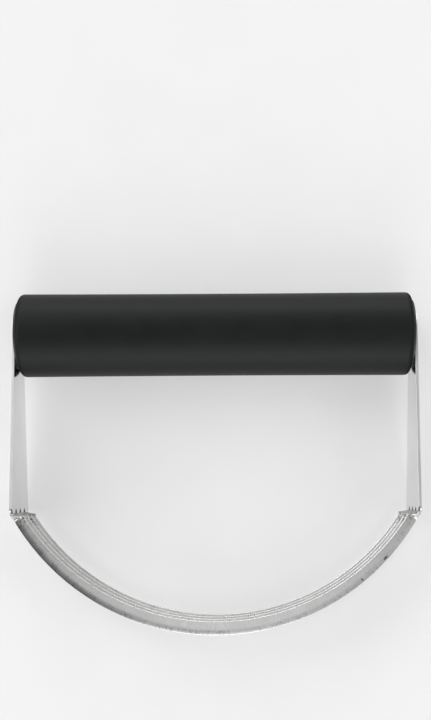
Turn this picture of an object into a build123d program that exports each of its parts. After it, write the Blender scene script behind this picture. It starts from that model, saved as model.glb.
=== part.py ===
from build123d import *

import os
from math import asin, atan2, cos, hypot, radians, sin

# A pastry blender lying flat on its side. X runs along the handle, +Y from the blades towards
# the handle, +Z up, and Z = 0 is the surface that it lies on. Millimetres.

# Driving dimensions
grip_diameter = 24.4  # the side plates are as wide as this at their feet
inner_width = 116.5  # clear distance between the side plates
sheet = 0.9  # thickness of the steel of the plates and the blades
blade_reach = 88.0  # handle axis to the lowest point of the blades
plate_reach = 52.5  # handle axis to the lower edge of the side plates
blade_count = 4
clearance = 0.05  # between turned or moulded pieces that fit into each other

# Places that follow from them
axis_y = (blade_reach - grip_diameter / 2) / 2
axis_z = grip_diameter / 2
plate_inside = inner_width / 2
plate_outside = plate_inside + sheet
foot_y = axis_y - plate_reach
blade_pitch = grip_diameter / blade_count

handle_axis = Axis((0, axis_y, axis_z), (1, 0, 0))
# Half profiles of turned pieces are drawn here as (distance along the handle, radius)
handle_plane = Plane(origin=(0, axis_y, axis_z), x_dir=(1, 0, 0), z_dir=(0, -1, 0))

# Side plates: a round top about the screw, straight tapering sides, a wide foot
plate_top_radius = 6.2
plate_top_rise = 1.0  # centre of the round top, above the handle axis
notch_radius = 0.95  # relief notches in the foot, at both corners and between the blades

# Blades: crescents between two arcs, and a quarter twist at each end
blade_radius = 67.5  # outer, working edge
blade_width = 3.9  # at the lowest point
root_width = 2.95  # where the crescent meets its twisted root
root_angle = 59.3  # from the lowest point to that place
tab_width = blade_pitch - 2 * notch_radius  # where the twisted root meets the plate
twist_steps = 6
blade_centre_y = axis_y - blade_reach + blade_radius

# Grip sleeve
sleeve_overhang = 0.65  # how far each end stays back from its side plate
sleeve_bore = 10.0
sleeve_waist = 0.15  # how much smaller the radius is in the middle
sleeve_corner = 1.6
rib_count = 5
rib_spacing = 20.0
rib_width = 3.0
rib_depth = 0.5

# Handle core and end plugs
core_half_length = 56.0
core_bore = 7.8
spigot_length = 11.5

# Countersunk M4 x 14 screw in a brass insert
screw_radius = 2.0
head_radius = 3.8
screw_length = 14.0
hole_radius = 2.2
insert_radius = 2.8
insert_length = 8.0
insert_inset = 1.5  # outer end of the insert, behind the inside face of the plate
recess_length = 4.2
recess_width = 0.95
recess_depth = 1.5

# The plate is pressed in around the screw, so that the screw head is flush
dimple_depth = 0.85
dimple_radius = 4.15

# Peg on each end plug that keeps the frame from turning on the handle
peg_radius = 1.2
peg_offset = 6.4  # from the handle axis towards the blades
peg_inset = 0.1  # behind the outside face of the plate


def save(piece, name):
    """Name a finished piece and write it as its own node."""
    piece.label = name
    export_step(piece, f"parts/{name}.step")


def turned(profile, side):
    """Points of a half profile, mirrored for the left end of the handle."""
    return [(side * along, radius) for along, radius in profile]


def edge_point(angle, depth=0.0):
    """A place on a blade: angle from its lowest point, depth inside its outer edge."""
    radius = blade_radius - depth
    return (radius * sin(radians(angle)), blade_centre_y - radius * cos(radians(angle)))


def root_sections(side, height):
    """Planes and widths of the sections of a twisted root, from the plate to the crescent.

    The outer edge of the root runs on from the outside of the plate to the working edge.
    """
    start = Vector(side * plate_outside, foot_y, height)
    end_x, end_y = edge_point(side * root_angle)
    end = Vector(end_x, end_y, height)
    up = Vector(0, 0, 1)
    down_the_plate = Vector(0, -1, 0)
    along_edge = Vector(-side * cos(radians(root_angle)), -sin(radians(root_angle)), 0)
    pull = (end - start).length / 3
    sections = []
    for step in range(twist_steps + 1):
        t = step / twist_steps
        rest = 1 - t
        # cubic curve that leaves along the plate and runs into the edge of the crescent
        outer_edge = (
            start * (rest**3)
            + (start + down_the_plate * pull) * (3 * rest * rest * t)
            + (end - along_edge * pull) * (3 * rest * t * t)
            + end * (t**3)
        )
        ahead = (down_the_plate * rest + along_edge * t).normalized()
        outward = up.cross(ahead) * side
        turn = radians(90 * t)
        width = tab_width * rest + root_width * t
        half_across = (width * sin(turn) + sheet * cos(turn)) / 2
        centre = outer_edge - outward * half_across
        width_direction = up * cos(turn) + outward * sin(turn)
        sections.append((Plane(origin=centre, x_dir=width_direction, z_dir=ahead), width))
    return sections


def make_blade(number):
    """One crescent blade on edge, with a twisted root at each end."""
    height = axis_z + (number - (blade_count + 1) / 2) * blade_pitch
    with BuildPart() as blade:
        with BuildSketch(Plane.XY.offset(height - sheet / 2)):
            with BuildLine():
                outer = ThreePointArc(
                    edge_point(-root_angle), edge_point(0), edge_point(root_angle)
                )
                inner = ThreePointArc(
                    edge_point(-root_angle, root_width),
                    edge_point(0, blade_width),
                    edge_point(root_angle, root_width),
                )
                Line(outer @ 0, inner @ 0)
                Line(outer @ 1, inner @ 1)
            make_face()
        extrude(amount=sheet)
        for side in (-1, 1):
            for plane, width in root_sections(side, height):
                with BuildSketch(plane):
                    Rectangle(width, sheet)
            loft()
    save(blade.part, f"blade_{number}")


def make_side_plate(side, name):
    """A flat plate with a round top, pressed in around its screw hole, and a notched foot."""
    top_y = axis_y + plate_top_rise
    foot_half_width = grip_diameter / 2
    taper = atan2(foot_half_width, top_y - foot_y)
    taper -= asin(plate_top_radius / hypot(foot_half_width, top_y - foot_y))
    shoulder_y = top_y + plate_top_radius * sin(taper)
    shoulder = plate_top_radius * cos(taper)
    with BuildPart() as plate:
        with BuildSketch(Plane.YZ.offset(side * plate_inside)):
            with BuildLine():
                Polyline(
                    (shoulder_y, axis_z + shoulder),
                    (foot_y, axis_z + foot_half_width),
                    (foot_y, axis_z - foot_half_width),
                    (shoulder_y, axis_z - shoulder),
                )
                ThreePointArc(
                    (shoulder_y, axis_z - shoulder),
                    (top_y + plate_top_radius, axis_z),
                    (shoulder_y, axis_z + shoulder),
                )
            make_face()
        extrude(amount=side * sheet)
        dimple = (
            (plate_inside, 0),
            (plate_inside, dimple_radius),
            (plate_inside - dimple_depth, dimple_radius - dimple_depth),
            (plate_inside - dimple_depth, 0),
        )
        with BuildSketch(handle_plane):
            with BuildLine():
                Polyline(*turned(dimple, side), close=True)
            make_face()
        revolve(axis=handle_axis)
        seat_radius = head_radius + clearance
        seat_depth = seat_radius - hole_radius
        seat = (
            (plate_outside, 0),
            (plate_outside, seat_radius),
            (plate_outside - seat_depth, hole_radius),
            (plate_inside - dimple_depth - 1, hole_radius),
            (plate_inside - dimple_depth - 1, 0),
        )
        with BuildSketch(handle_plane):
            with BuildLine():
                Polyline(*turned(seat, side), close=True)
            make_face()
        revolve(axis=handle_axis, mode=Mode.SUBTRACT)
        with BuildSketch(Plane.YZ.offset(side * plate_inside)):
            with Locations((axis_y - peg_offset, axis_z)):
                Circle(peg_radius + clearance)
            with Locations((foot_y, axis_z)):
                with GridLocations(0, blade_pitch, 1, blade_count + 1):
                    Circle(notch_radius)
        extrude(amount=side * sheet, mode=Mode.SUBTRACT)
    save(plate.part, name)


def make_grip_sleeve():
    """The soft sleeve: a slight waist, rounded ends and inner ribs that key it to the core."""
    half_length = plate_inside - sleeve_overhang
    end_radius = grip_diameter / 2
    with BuildPart() as sleeve:
        with BuildSketch(handle_plane):
            with BuildLine():
                crown = ThreePointArc(
                    (-half_length, end_radius),
                    (0, end_radius - sleeve_waist),
                    (half_length, end_radius),
                )
                Polyline(
                    crown @ 1, (half_length, sleeve_bore), (-half_length, sleeve_bore), crown @ 0
                )
            make_face()
        revolve(axis=handle_axis)
        rims = sleeve.edges().filter_by(GeomType.CIRCLE).sort_by(SortBy.RADIUS)[-2:]
        fillet(rims, radius=sleeve_corner)
        with BuildSketch(handle_plane):
            with GridLocations(rib_spacing, 0, rib_count, 1):
                with Locations((0, sleeve_bore - rib_depth / 2)):
                    Rectangle(rib_width - 2 * clearance, rib_depth)
        revolve(axis=handle_axis)
    save(sleeve.part, "grip_sleeve")


def make_handle_core():
    """The rigid tube under the sleeve, with a groove for each rib of the sleeve."""
    core_radius = sleeve_bore - clearance
    with BuildPart() as core:
        with BuildSketch(handle_plane):
            with Locations((0, (core_radius + core_bore) / 2)):
                Rectangle(2 * core_half_length, core_radius - core_bore)
        revolve(axis=handle_axis)
        with BuildSketch(handle_plane):
            with GridLocations(rib_spacing, 0, rib_count, 1):
                with Locations((0, sleeve_bore - rib_depth / 2 - clearance)):
                    Rectangle(rib_width, rib_depth)
        revolve(axis=handle_axis, mode=Mode.SUBTRACT)
    save(core.part, "handle_core")


def make_end_plug(side, name):
    """Closes one end of the core and carries the insert and the peg."""
    flange_radius = sleeve_bore - clearance
    spigot_radius = core_bore - clearance
    insert_start = plate_inside - insert_inset
    insert_end = insert_start - insert_length
    plug_end = core_half_length - spigot_length
    recess_radius = dimple_radius + clearance
    recess_floor = plate_inside - dimple_depth - clearance
    profile = (
        (plate_inside, recess_radius),
        (plate_inside, flange_radius),
        (core_half_length, flange_radius),
        (core_half_length, spigot_radius),
        (plug_end, spigot_radius),
        (plug_end, hole_radius),
        (insert_end, hole_radius),
        (insert_end, insert_radius),
        (recess_floor, insert_radius),
        (recess_floor, recess_radius - dimple_depth),
    )
    with BuildPart() as plug:
        with BuildSketch(handle_plane):
            with BuildLine():
                Polyline(*turned(profile, side), close=True)
            make_face()
        revolve(axis=handle_axis)
        with BuildSketch(Plane.YZ.offset(side * plate_inside)):
            with Locations((axis_y - peg_offset, axis_z)):
                Circle(peg_radius)
        extrude(amount=side * (sheet - peg_inset))
    save(plug.part, name)


def make_threaded_insert(side, name):
    """Brass insert, with a waist that the plastic of the plug grips."""
    start = plate_inside - insert_inset
    outer_radius = insert_radius - clearance
    waist_radius = outer_radius - 0.35
    bore = screw_radius + clearance
    third = insert_length / 3
    profile = (
        (start, bore),
        (start, outer_radius),
        (start - third, outer_radius),
        (start - third, waist_radius),
        (start - 2 * third, waist_radius),
        (start - 2 * third, outer_radius),
        (start - insert_length, outer_radius),
        (start - insert_length, bore),
    )
    with BuildPart() as insert:
        with BuildSketch(handle_plane):
            with BuildLine():
                Polyline(*turned(profile, side), close=True)
            make_face()
        revolve(axis=handle_axis)
    save(insert.part, name)


def make_screw(side, name):
    """Countersunk screw with a cross recess, its head flush with the plate."""
    tip = plate_outside - screw_length
    tip_chamfer = 0.5
    profile = (
        (plate_outside, 0),
        (plate_outside, head_radius),
        (plate_outside - head_radius + screw_radius, screw_radius),
        (tip + tip_chamfer, screw_radius),
        (tip, screw_radius - tip_chamfer),
        (tip, 0),
    )
    with BuildPart() as screw:
        with BuildSketch(handle_plane):
            with BuildLine():
                Polyline(*turned(profile, side), close=True)
            make_face()
        revolve(axis=handle_axis)
        with BuildSketch(Plane.YZ.offset(side * plate_outside)):
            with Locations((axis_y, axis_z)):
                Rectangle(recess_length, recess_width)
                Rectangle(recess_width, recess_length)
        extrude(amount=-side * recess_depth, taper=10, mode=Mode.SUBTRACT)
    save(screw.part, name)


os.makedirs("parts", exist_ok=True)
for blade_number in range(1, blade_count + 1):
    make_blade(blade_number)
make_grip_sleeve()
make_handle_core()
for end, end_name in ((-1, "left"), (1, "right")):
    make_side_plate(end, f"side_plate_{end_name}")
    make_end_plug(end, f"end_plug_{end_name}")
    make_threaded_insert(end, f"threaded_insert_{end_name}")
    make_screw(end, f"screw_{end_name}")
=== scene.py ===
from math import cos, pi, radians, sin

import bmesh
import bpy
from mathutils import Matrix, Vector


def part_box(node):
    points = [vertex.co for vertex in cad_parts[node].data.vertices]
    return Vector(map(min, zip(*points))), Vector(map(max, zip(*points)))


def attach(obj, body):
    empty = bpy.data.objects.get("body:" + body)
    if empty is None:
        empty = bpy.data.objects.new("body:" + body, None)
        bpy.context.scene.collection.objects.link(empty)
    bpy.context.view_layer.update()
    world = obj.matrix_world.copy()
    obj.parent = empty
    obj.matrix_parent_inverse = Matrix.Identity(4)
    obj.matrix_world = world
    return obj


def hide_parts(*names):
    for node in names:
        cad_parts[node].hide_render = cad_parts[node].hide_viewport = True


# A pastry blender lying flat on a pale surface. X runs along the handle, +Y from the blades to
# the handle, +Z up. All sizes are in metres.

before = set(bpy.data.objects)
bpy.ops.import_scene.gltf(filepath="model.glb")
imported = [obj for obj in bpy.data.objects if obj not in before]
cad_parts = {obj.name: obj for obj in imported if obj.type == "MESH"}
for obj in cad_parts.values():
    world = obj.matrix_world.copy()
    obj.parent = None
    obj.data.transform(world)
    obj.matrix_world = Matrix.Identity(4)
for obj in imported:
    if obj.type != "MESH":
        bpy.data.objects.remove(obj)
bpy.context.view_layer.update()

MM = 0.001

# Sizes of the steel strip that the frame's boxes don't state
SHEET = 0.9 * MM
BLADE_COUNT = 4
BLADE_RADIUS = 67.5 * MM
BLADE_WIDTH = 3.9 * MM
ROOT_WIDTH = 2.95 * MM
TAB_WIDTH = 4.2 * MM
ROOT_ANGLE = radians(59.3)

# Places read from the frame
grip_low, grip_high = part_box("grip_sleeve")
plate_low, plate_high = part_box("side_plate_right")
front_low, front_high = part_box(f"blade_{BLADE_COUNT}")
AXIS_Y = (grip_low.y + grip_high.y) / 2
AXIS_Z = (grip_low.z + grip_high.z) / 2
GRIP_RADIUS = (grip_high.z - grip_low.z) / 2
GRIP_END = grip_high.x
PLATE_OUTSIDE = plate_high.x
FOOT_Y = plate_low.y
BLADE_CENTRE_Y = front_low.y + BLADE_RADIUS
FRONT_FACE_Z = (front_low.z + front_high.z + SHEET) / 2
BLADE_PITCH = 2 * GRIP_RADIUS / BLADE_COUNT

# Nicks in the front blade: degrees from its lowest point, depth from its outer edge, half
# sizes along and across the strip
NICKS = ((47.1, 0.7 * MM, 0.70 * MM, 0.35 * MM), (39.2, 0.8 * MM, 0.22 * MM, 0.70 * MM))

UP = Vector((0, 0, 1))
DOWN_THE_PLATE = Vector((0, -1, 0))


# ---------------------------------------------------------------- mesh helpers

def link_mesh(name, points, faces):
    """A smooth-shaded mesh object whose flat faces keep flat shading."""
    mesh = bpy.data.meshes.new(name)
    mesh.from_pydata(points, [], faces)
    mesh.validate()
    mesh.shade_smooth()
    piece = bpy.data.objects.new(name, mesh)
    bpy.context.scene.collection.objects.link(piece)
    weighted = piece.modifiers.new("flat_faces", "WEIGHTED_NORMAL")
    weighted.weight = 60
    return piece


def skin_rings(name, rings, ends):
    """A mesh skinned over rings of points, closed by its ends or joined end to end."""
    count = len(rings[0])
    points = [point for ring in rings for point in ring]
    last = len(rings) - 1 if ends else len(rings)
    faces = []
    for r in range(last):
        here = r * count
        there = ((r + 1) % len(rings)) * count
        for k in range(count):
            n = (k + 1) % count
            faces.append((here + k, here + n, there + n, there + k))
    if ends:
        faces.append(tuple(range(count))[::-1])
        faces.append(tuple(range(len(points) - count, len(points))))
    return link_mesh(name, points, faces)


def fillet(centre, radius, start, stop, steps):
    """Points of a rounded corner in a flat profile, from angle start to stop in degrees."""
    turns = [radians(start + (stop - start) * k / steps) for k in range(steps + 1)]
    return [(centre[0] + radius * cos(t), centre[1] + radius * sin(t)) for t in turns]


# ---------------------------------------------------------------- blades

def strip_profile(width, crown):
    """Cross-section of a blade: (from inner to outer edge, through the thickness).

    The outer, working edge is eased over the width of its land, by the depth of the crown.
    """
    half_w = width / 2
    half_t = SHEET / 2
    inner_round = 0.1 * MM
    outer_round = 0.07 * MM
    land = 2.0 * MM
    land_steps = 6
    front = fillet((-half_w + inner_round, half_t - inner_round), inner_round, 180, 90, 3)
    for k in range(land_steps):
        t = k / land_steps
        front.append((half_w - land + (land - outer_round) * t, half_t - crown * t * t))
    outer_centre = (half_w - outer_round, half_t - crown - outer_round)
    front += fillet(outer_centre, outer_round, 90, 0, 4)
    back = [(u, -v) for u, v in reversed(front)]
    return front + back


def edge_point(angle, depth):
    """A place on a blade: angle from its lowest point, depth inside its outer edge."""
    radius = BLADE_RADIUS - depth
    return Vector((radius * sin(angle), BLADE_CENTRE_Y - radius * cos(angle), 0))


def inner_depth(angle):
    """Width of the crescent at an angle: its inner edge is a circle set off from the outer."""
    corner = edge_point(ROOT_ANGLE, ROOT_WIDTH)
    middle = edge_point(0, BLADE_WIDTH)
    # centre of the circle through the middle and both inner corners
    rise = (corner.x**2 + corner.y**2 - middle.y**2) / (2 * (corner.y - middle.y))
    inner_radius = rise - middle.y
    shift = rise - BLADE_CENTRE_Y
    reach = shift * -cos(angle) + (inner_radius**2 - (shift * sin(angle)) ** 2) ** 0.5
    return BLADE_RADIUS - reach


def root_sections(side, height, crown):
    """Sections of one twisted root, from the plate to the crescent.

    Its outer edge runs on from the outside of the plate to the working edge of the blade.
    """
    steps = 16
    start = Vector((side * PLATE_OUTSIDE, FOOT_Y, height))
    end = edge_point(side * ROOT_ANGLE, 0) + UP * height
    along = Vector((-side * cos(ROOT_ANGLE), -sin(ROOT_ANGLE), 0))
    pull = (end - start).length / 3
    sections = []
    for k in range(steps):
        t = k / steps
        rest = 1 - t
        outer_edge = start * rest**3 + (start + DOWN_THE_PLATE * pull) * (3 * rest * rest * t)
        outer_edge += (end - along * pull) * (3 * rest * t * t) + end * t**3
        ahead = (DOWN_THE_PLATE * rest + along * t).normalized()
        outward = UP.cross(ahead) * side
        turn = t * pi / 2
        width = TAB_WIDTH * rest + ROOT_WIDTH * t
        half_across = (width * sin(turn) + SHEET * cos(turn)) / 2
        wide = UP * cos(turn) + outward * sin(turn)
        front = ahead.cross(wide) * side
        sections.append((outer_edge - outward * half_across, wide, front, width, crown * t))
    return sections


def blade_sections(height):
    """Centre, width direction, front direction, width and crown of each section, left to right."""
    crown = 0.2 * MM
    arc_steps = 96
    arc = []
    for k in range(arc_steps + 1):
        angle = ROOT_ANGLE * (2 * k / arc_steps - 1)
        width = inner_depth(angle)
        outward = Vector((sin(angle), -cos(angle), 0))
        arc.append((edge_point(angle, width / 2) + UP * height, outward, UP, width, crown))
    return root_sections(-1, height, crown) + arc + root_sections(1, height, crown)[::-1]


def make_blade(number):
    """One crescent blade on edge, with its twisted roots, in place of its plain CAD solid."""
    node = f"blade_{number}"
    low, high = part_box(node)
    rings = []
    for centre, wide, front, width, crown in blade_sections((low.z + high.z) / 2):
        rings.append([centre + wide * u + front * v for u, v in strip_profile(width, crown)])
    blade = skin_rings(f"{node}_strip", rings, ends=True)
    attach(blade, "root")
    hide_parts(node)
    return blade


# ---------------------------------------------------------------- grip

def lathe_about_handle(name, profile, segments):
    """Turns a closed profile of (along the handle, radius) about the handle's axis."""
    rings = []
    for k in range(segments):
        turn = 2 * pi * k / segments
        ring = [
            Vector((along, AXIS_Y + radius * cos(turn), AXIS_Z + radius * sin(turn)))
            for along, radius in profile
        ]
        rings.append(ring)
    return skin_rings(name, rings, ends=False)


def make_grip():
    """The soft sleeve: a slight waist and well rounded ends."""
    half_length = GRIP_END
    bore = 10.0 * MM
    corner = 1.6 * MM
    lip = 0.25 * MM
    waist = 0.15 * MM
    body_steps = 40
    reach = half_length - corner
    profile = []
    for k in range(body_steps + 1):
        along = reach * (2 * k / body_steps - 1)
        profile.append((along, GRIP_RADIUS - waist * (1 - (along / half_length) ** 2)))
    end_radius = profile[0][1]
    profile += fillet((reach, end_radius - corner), corner, 90, 0, 10)[1:]
    profile += fillet((half_length - lip, bore + lip), lip, 0, -90, 3)
    profile += fillet((-half_length + lip, bore + lip), lip, -90, -180, 3)
    profile += fillet((-reach, end_radius - corner), corner, 180, 90, 10)[:-1]
    grip = lathe_about_handle("grip_sleeve_soft", profile, segments=160)
    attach(grip, "root")
    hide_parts("grip_sleeve")
    return grip


# ---------------------------------------------------------------- plates, plugs and screws

def soften_edges(node, edge):
    """The CAD solid again, with its edges broken as tumbled or moulded edges are."""
    shape = bmesh.new()
    shape.from_mesh(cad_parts[node].data)
    bmesh.ops.remove_doubles(shape, verts=shape.verts, dist=0.001 * MM)
    bmesh.ops.dissolve_limit(
        shape, angle_limit=radians(1), verts=shape.verts, edges=shape.edges
    )
    mesh = bpy.data.meshes.new(f"{node}_softened")
    shape.to_mesh(mesh)
    shape.free()
    mesh.shade_smooth()
    piece = bpy.data.objects.new(f"{node}_softened", mesh)
    bpy.context.scene.collection.objects.link(piece)
    bevel = piece.modifiers.new("broken_edges", "BEVEL")
    bevel.width = edge
    bevel.segments = 2
    bevel.limit_method = "ANGLE"
    bevel.angle_limit = radians(30)
    piece.modifiers.new("flat_faces", "WEIGHTED_NORMAL")
    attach(piece, "root")
    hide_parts(node)
    return piece


# ---------------------------------------------------------------- materials
# Noise scales are in cells per metre, colours are linear, and bump depths are in metres.

class Shader:
    """A Principled material and short ways to add nodes to it."""

    def __init__(self, name):
        self.material = bpy.data.materials.new(name)
        self.material.use_nodes = True
        self.tree = self.material.node_tree
        self.surface = self.tree.nodes["Principled BSDF"]
        coordinates = self.tree.nodes.new("ShaderNodeTexCoord")
        self.place = coordinates.outputs["Object"]
        self.normal = coordinates.outputs["Normal"]

    def link(self, output, target):
        self.tree.links.new(output, target)

    def math(self, operation, first, second=0.0):
        node = self.tree.nodes.new("ShaderNodeMath")
        node.operation = operation
        for value, socket in ((first, node.inputs[0]), (second, node.inputs[1])):
            if isinstance(value, (int, float)):
                socket.default_value = value
            else:
                self.link(value, socket)
        return node.outputs[0]

    def vector_math(self, operation, vector, constant=None):
        """The node of one vector operation, with a constant second operand if it takes one."""
        node = self.tree.nodes.new("ShaderNodeVectorMath")
        node.operation = operation
        self.link(vector, node.inputs[0])
        if constant is not None:
            node.inputs[1].default_value = constant
        return node

    def stretched(self, vector, scale):
        """The vector with each axis multiplied by its own density."""
        return self.vector_math("MULTIPLY", vector, scale).outputs[0]

    def parts(self, vector):
        """The X, Y and Z of a vector."""
        node = self.tree.nodes.new("ShaderNodeSeparateXYZ")
        self.link(vector, node.inputs[0])
        return tuple(node.outputs)

    def noise(self, vector, scale, detail=3.0, roughness=0.5):
        node = self.tree.nodes.new("ShaderNodeTexNoise")
        self.link(vector, node.inputs["Vector"])
        node.inputs["Scale"].default_value = scale
        node.inputs["Detail"].default_value = detail
        node.inputs["Roughness"].default_value = roughness
        return node.outputs["Fac"]

    def spread(self, value, low, high, to_low, to_high):
        """Maps low..high to to_low..to_high, and holds it there outside."""
        node = self.tree.nodes.new("ShaderNodeMapRange")
        self.link(value, node.inputs["Value"])
        node.inputs["From Min"].default_value = low
        node.inputs["From Max"].default_value = high
        node.inputs["To Min"].default_value = to_low
        node.inputs["To Max"].default_value = to_high
        return node.outputs["Result"]

    def distance(self, vector, centre, reach):
        """How far the vector is from the centre, in units of the reach along each axis."""
        offset = self.vector_math("SUBTRACT", vector, centre).outputs[0]
        scaled = self.stretched(offset, [1 / size for size in reach])
        return self.vector_math("LENGTH", scaled).outputs["Value"]

    def vary(self, noise, to_low, to_high):
        """Maps the range that nearly all of a noise falls in."""
        return self.spread(noise, 0.3, 0.7, to_low, to_high)

    def faces_aside(self, part):
        """From a part of the normal: 0 on faces that look along its axis, 1 on those that don't."""
        return self.spread(self.math("ABSOLUTE", part), 0.4, 0.9, 1.0, 0.0)

    def blend(self, factor, first, second):
        """Colour between two colours or colour outputs."""
        node = self.tree.nodes.new("ShaderNodeMix")
        node.data_type = "RGBA"
        self.link(factor, node.inputs["Factor"])
        sockets = [s for s in node.inputs if s.type == "RGBA"]
        for value, socket in zip((first, second), sockets):
            if isinstance(value, tuple):
                socket.default_value = (*value, 1)
            else:
                self.link(value, socket)
        return [s for s in node.outputs if s.type == "RGBA"][0]

    def bump(self, height, strength, distance):
        node = self.tree.nodes.new("ShaderNodeBump")
        self.link(height, node.inputs["Height"])
        node.inputs["Strength"].default_value = strength
        node.inputs["Distance"].default_value = distance
        self.link(node.outputs["Normal"], self.surface.inputs["Normal"])

    def finish(self, colour, rough, relief, strength, depth):
        """Plugs in the colour, the roughness and a bump from the relief."""
        self.link(colour, self.surface.inputs["Base Color"])
        self.link(rough, self.surface.inputs["Roughness"])
        self.bump(relief, strength, depth)

    def constant(self, **values):
        for name, value in values.items():
            self.surface.inputs[name.replace("_", " ")].default_value = value

    def paint(self, piece):
        piece.data.materials.clear()
        piece.data.materials.append(self.material)


def strip_place(shader):
    """Where a point of a blade is: (along, across, up) the strip, its angle and its radius."""
    x, y, z = shader.parts(shader.place)
    below = shader.math("SUBTRACT", BLADE_CENTRE_Y, y)
    angle = shader.math("ARCTAN2", x, below)
    x_square = shader.math("MULTIPLY", x, x)
    below_square = shader.math("MULTIPLY", below, below)
    radius = shader.math("SQRT", shader.math("ADD", x_square, below_square))
    join = shader.tree.nodes.new("ShaderNodeCombineXYZ")
    shader.link(shader.math("MULTIPLY", angle, BLADE_RADIUS), join.inputs["X"])
    shader.link(radius, join.inputs["Y"])
    shader.link(z, join.inputs["Z"])
    return join.outputs[0], angle, radius


def painted_edge_shade(shader, angle, radius):
    """How dark the painted shade along the outer edge is: most on the left flank, none at the
    middle. It stands in for the darker surroundings that the eased edge reflects.
    """
    band = shader.spread(radius, BLADE_RADIUS - 1.9 * MM, BLADE_RADIUS, 0.0, 1.0)
    left = shader.spread(angle, radians(-34), radians(-14), 0.48, 0.0)
    aside = shader.math("ABSOLUTE", angle)
    flank = shader.spread(aside, radians(14), radians(34), 0.0, 0.42)
    return shader.math("MULTIPLY", band, shader.math("ADD", left, flank))


def blade_steel():
    """Stamped stainless strip: short marks across it, a painted dark band of shade along the outer
    edge, painted shade on and near the twisted roots, and two nicks.
    """
    shader = Shader("blade_steel")
    strip, angle, radius = strip_place(shader)
    cut = shader.faces_aside(shader.parts(shader.normal)[2])
    aside = shader.math("ABSOLUTE", angle)
    twisted = shader.spread(aside, ROOT_ANGLE - 0.01, ROOT_ANGLE + 0.01, 0, 1)
    near_root = shader.spread(aside, ROOT_ANGLE - 0.06, ROOT_ANGLE - 0.02, 0.0, 0.8)

    marks = shader.noise(shader.stretched(strip, (1, 0.22, 0.6)), 2400, 4, 0.6)
    along = shader.noise(shader.stretched(strip, (0.05, 1, 0.3)), 2600, 2)
    broad = shader.noise(shader.stretched(strip, (1, 0.6, 0.5)), 300, 3)
    tone = shader.math("ADD", shader.vary(marks, 0.0, 0.6), shader.vary(along, 0.0, 0.4))
    colour = shader.blend(tone, (0.82, 0.82, 0.815), (0.92, 0.92, 0.915))
    # painted shade: a dark band along the outer edge, for the darker surroundings that the eased
    # edge reflects on the flanks
    edge_shade = painted_edge_shade(shader, angle, radius)
    colour = shader.blend(edge_shade, colour, (0.16, 0.16, 0.16))
    colour = shader.blend(cut, colour, (0.82, 0.82, 0.815))
    # painted shade: the twisted roots are coloured a darker steel to hold down their bright
    # reflection
    colour = shader.blend(twisted, colour, (0.47, 0.47, 0.465))

    # painted shade: dark specks near and on the twisted roots, standing in for the dark reflections
    # in the twist
    specks = shader.spread(shader.noise(strip, 1100, 2), 0.56, 0.62, 0.0, 1.0)
    painted_root_specks = shader.math("MULTIPLY", specks, near_root)
    colour = shader.blend(painted_root_specks, colour, (0.10, 0.10, 0.095))

    ragged = shader.vary(marks, -0.25, 0.25)
    for degrees, depth, half_along, half_across in NICKS:
        centre = (radians(degrees) * BLADE_RADIUS, BLADE_RADIUS - depth, FRONT_FACE_Z)
        away = shader.distance(strip, centre, (half_along, half_across, SHEET))
        nick = shader.spread(shader.math("ADD", away, ragged), 0.6, 1.2, 1.0, 0.0)
        colour = shader.blend(nick, colour, (0.10, 0.10, 0.10))

    rough = shader.math("ADD", shader.vary(marks, 0.26, 0.32), shader.vary(broad, -0.02, 0.02))
    rough = shader.math("ADD", rough, shader.math("MULTIPLY", cut, 0.25))
    rough = shader.math("ADD", rough, shader.math("MULTIPLY", twisted, 0.15))
    shader.finish(colour, rough, marks, 0.08, 0.02 * MM)
    shader.constant(Metallic=1.0)
    return shader


def plate_steel():
    """Rolled stainless sheet, smooth enough to mirror softly what is near it."""
    shader = Shader("plate_steel")
    rolled = shader.noise(shader.stretched(shader.place, (1, 0.04, 1)), 3200, 3, 0.6)
    cloudy = shader.noise(shader.place, 90, 3)
    tone = shader.vary(cloudy, 0.0, 1.0)
    colour = shader.blend(tone, (0.67, 0.67, 0.665), (0.73, 0.73, 0.73))
    normal_x = shader.parts(shader.normal)[0]
    cut = shader.faces_aside(normal_x)

    # above zero on the outer sides of both plates, below zero on the inner sides
    outward = shader.math("MULTIPLY", normal_x, shader.parts(shader.place)[0])
    inner_side = shader.spread(outward, -5 * MM, 5 * MM, 1.0, 0.0)
    for k in range(BLADE_COUNT + 1):
        # painted shade: dark patches on the inner sides round each notch in the foot, for the shade
        # in the gaps between the blade roots
        notch = (0, FOOT_Y, AXIS_Z + (k - BLADE_COUNT / 2) * BLADE_PITCH)
        away = shader.distance(shader.place, notch, (1, 1.4 * MM, 1.6 * MM))
        painted_notch_shade = shader.math("MULTIPLY", shader.spread(away, 0.8, 1.1, 1.0, 0.0), inner_side)
        colour = shader.blend(painted_notch_shade, colour, (0.05, 0.05, 0.045))

    rough = shader.math("ADD", shader.vary(rolled, 0.09, 0.14), shader.vary(cloudy, -0.02, 0.02))
    rough = shader.math("ADD", rough, shader.math("MULTIPLY", cut, 0.35))
    shader.finish(colour, rough, rolled, 0.2, 0.01 * MM)
    shader.constant(Metallic=1.0)
    return shader


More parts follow.
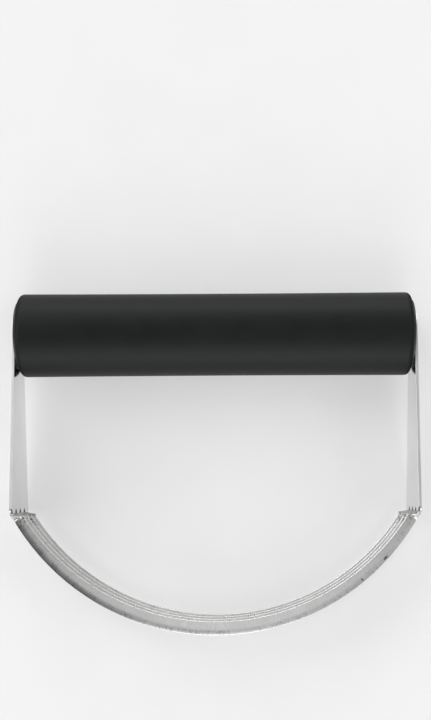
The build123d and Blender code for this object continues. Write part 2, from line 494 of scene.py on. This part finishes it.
def grip_rubber():
    """Soft-touch black with a fine speckle, duller on its rounded ends."""
    shader = Shader("grip_rubber")
    speckle = shader.noise(shader.place, 5200, 2, 0.6)
    cloudy = shader.noise(shader.place, 120, 4, 0.6)
    tone = shader.vary(cloudy, 0.0, 1.0)
    colour = shader.blend(tone, (0.0060, 0.0066, 0.0066), (0.0078, 0.0084, 0.0084))
    along = shader.math("ABSOLUTE", shader.parts(shader.place)[0])
    dull_ends = shader.spread(along, GRIP_END - 1.6 * MM, GRIP_END - 0.8 * MM, 0.0, 0.4)
    rough = shader.math("ADD", shader.vary(speckle, 0.44, 0.54), shader.vary(cloudy, -0.03, 0.03))
    rough = shader.math("ADD", rough, dull_ends)
    shader.finish(colour, rough, speckle, 0.3, 0.03 * MM)
    shader.constant(Specular_IOR_Level=0.13)
    return shader


def moulded_plastic(name, dark, light, roughness):
    """Moulded plastic with a fine spark-eroded texture."""
    shader = Shader(name)
    grain = shader.noise(shader.place, 3000, 3, 0.6)
    colour = shader.blend(shader.vary(grain, 0.0, 1.0), dark, light)
    rough = shader.vary(grain, roughness - 0.06, roughness + 0.06)
    shader.finish(colour, rough, grain, 0.25, 0.02 * MM)
    return shader


def turned_metal(name, dark, light, roughness):
    """Metal turned about the handle's axis, with rings from the tool."""
    shader = Shader(name)
    rings = shader.noise(shader.stretched(shader.place, (1, 0.1, 0.1)), 4000, 3, 0.6)
    colour = shader.blend(shader.vary(rings, 0.0, 1.0), dark, light)
    rough = shader.vary(rings, roughness - 0.05, roughness + 0.07)
    shader.finish(colour, rough, rings, 0.2, 0.01 * MM)
    shader.constant(Metallic=1.0)
    return shader


# ---------------------------------------------------------------- the object

blade_shader = blade_steel()
plate_shader = plate_steel()
plug_shader = moulded_plastic("plug_plastic", (0.010, 0.010, 0.011), (0.020, 0.020, 0.021), 0.5)
core_shader = moulded_plastic("core_plastic", (0.20, 0.20, 0.21), (0.27, 0.27, 0.28), 0.55)
brass_shader = turned_metal("insert_brass", (0.62, 0.46, 0.20), (0.74, 0.57, 0.29), 0.3)
screw_shader = turned_metal("screw_steel", (0.60, 0.60, 0.60), (0.72, 0.72, 0.72), 0.28)

for blade_number in range(1, BLADE_COUNT + 1):
    blade_shader.paint(make_blade(blade_number))
grip_rubber().paint(make_grip())
core_shader.paint(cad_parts["handle_core"])
for end in ("left", "right"):
    plate_shader.paint(soften_edges(f"side_plate_{end}", 0.12 * MM))
    plug_shader.paint(soften_edges(f"end_plug_{end}", 0.15 * MM))
    brass_shader.paint(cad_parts[f"threaded_insert_{end}"])
    screw_shader.paint(soften_edges(f"screw_{end}", 0.08 * MM))


# ---------------------------------------------------------------- floor, light and camera

# Soft lights: degrees from +Y towards +X, degrees up, degrees across, radiance
SOFT_LIGHTS = {
    "low_back": (0, 12, 42, 3.2),
    "low_front": (180, 12, 42, 3.0),
    "low_left": (270, 12, 42, 4.6),
    "upper_left": (315, 40, 36, 3.6),
    "right": (90, 40, 36, 2.7),
    "front": (180, 40, 36, 2.4),
    "high_right": (125, 66, 26, 0.35),
    "overhead": (190, 83, 18, 0.85),
}


def make_floor():
    """A plain pale surface with the faintest mottle, lit a little from below."""
    half = 2.0
    corners = [(-half, -half, 0), (half, -half, 0), (half, half, 0), (-half, half, 0)]
    floor = link_mesh("floor", corners, [(0, 1, 2, 3)])
    floor.modifiers.clear()
    shader = Shader("floor_card")
    mottle = shader.noise(shader.place, 40, 3)
    tone = shader.vary(mottle, 0.0, 1.0)
    colour = shader.blend(tone, (0.385, 0.385, 0.385), (0.400, 0.400, 0.400))
    shader.link(colour, shader.surface.inputs["Base Color"])
    shader.constant(Roughness=0.9, Specular_IOR_Level=0.0)
    shader.constant(Emission_Color=(1, 1, 1, 1), Emission_Strength=0.37)
    shader.paint(floor)


def make_soft_light(name, azimuth, elevation, width, radiance):
    """A round, even source far away."""
    turn, rise = radians(azimuth), radians(elevation)
    away = Vector((sin(turn) * cos(rise), cos(turn) * cos(rise), sin(rise)))
    light = bpy.data.lights.new(name, "SUN")
    light.angle = radians(width)
    light.energy = radiance * pi * sin(radians(width / 2)) ** 2
    source = bpy.data.objects.new(name, light)
    bpy.context.scene.collection.objects.link(source)
    source.rotation_mode = "QUATERNION"
    source.rotation_quaternion = away.to_track_quat("Z", "Y")


def make_sky(horizon, zenith, bright_below, dark_above):
    """Neutral light from all round that fades between two heights, in degrees above the horizon."""
    world = bpy.data.worlds.new("studio")
    world.use_nodes = True
    tree = world.node_tree
    background = tree.nodes["Background"]
    background.inputs["Color"].default_value = (1, 1, 1, 1)
    direction = tree.nodes.new("ShaderNodeTexCoord")
    split = tree.nodes.new("ShaderNodeSeparateXYZ")
    ramp = tree.nodes.new("ShaderNodeMapRange")
    tree.links.new(direction.outputs["Generated"], split.inputs[0])
    tree.links.new(split.outputs["Z"], ramp.inputs["Value"])
    ramp.inputs["From Min"].default_value = sin(radians(bright_below))
    ramp.inputs["From Max"].default_value = sin(radians(dark_above))
    ramp.inputs["To Min"].default_value = horizon
    ramp.inputs["To Max"].default_value = zenith
    tree.links.new(ramp.outputs["Result"], background.inputs["Strength"])
    bpy.context.scene.world = world


def make_camera():
    """Straight above, nearer the blades than the handle, with the frame shifted to hold both."""
    lens = bpy.data.cameras.new("camera")
    lens.sensor_width = 36.0
    lens.lens = 55.17
    lens.shift_x = -0.038
    lens.shift_y = 0.180
    lens.clip_start = 0.01
    camera = bpy.data.objects.new("camera", lens)
    bpy.context.scene.collection.objects.link(camera)
    camera.location = (7.9 * MM, -8.1 * MM, 340.0 * MM)
    camera.rotation_euler = (0, 0, -0.006)
    bpy.context.scene.camera = camera


make_floor()
for light_name, settings in SOFT_LIGHTS.items():
    make_soft_light(light_name, *settings)
make_sky(0.92, 0.08, 33, 60)
make_camera()
bpy.context.scene.view_settings.view_transform = "Standard"
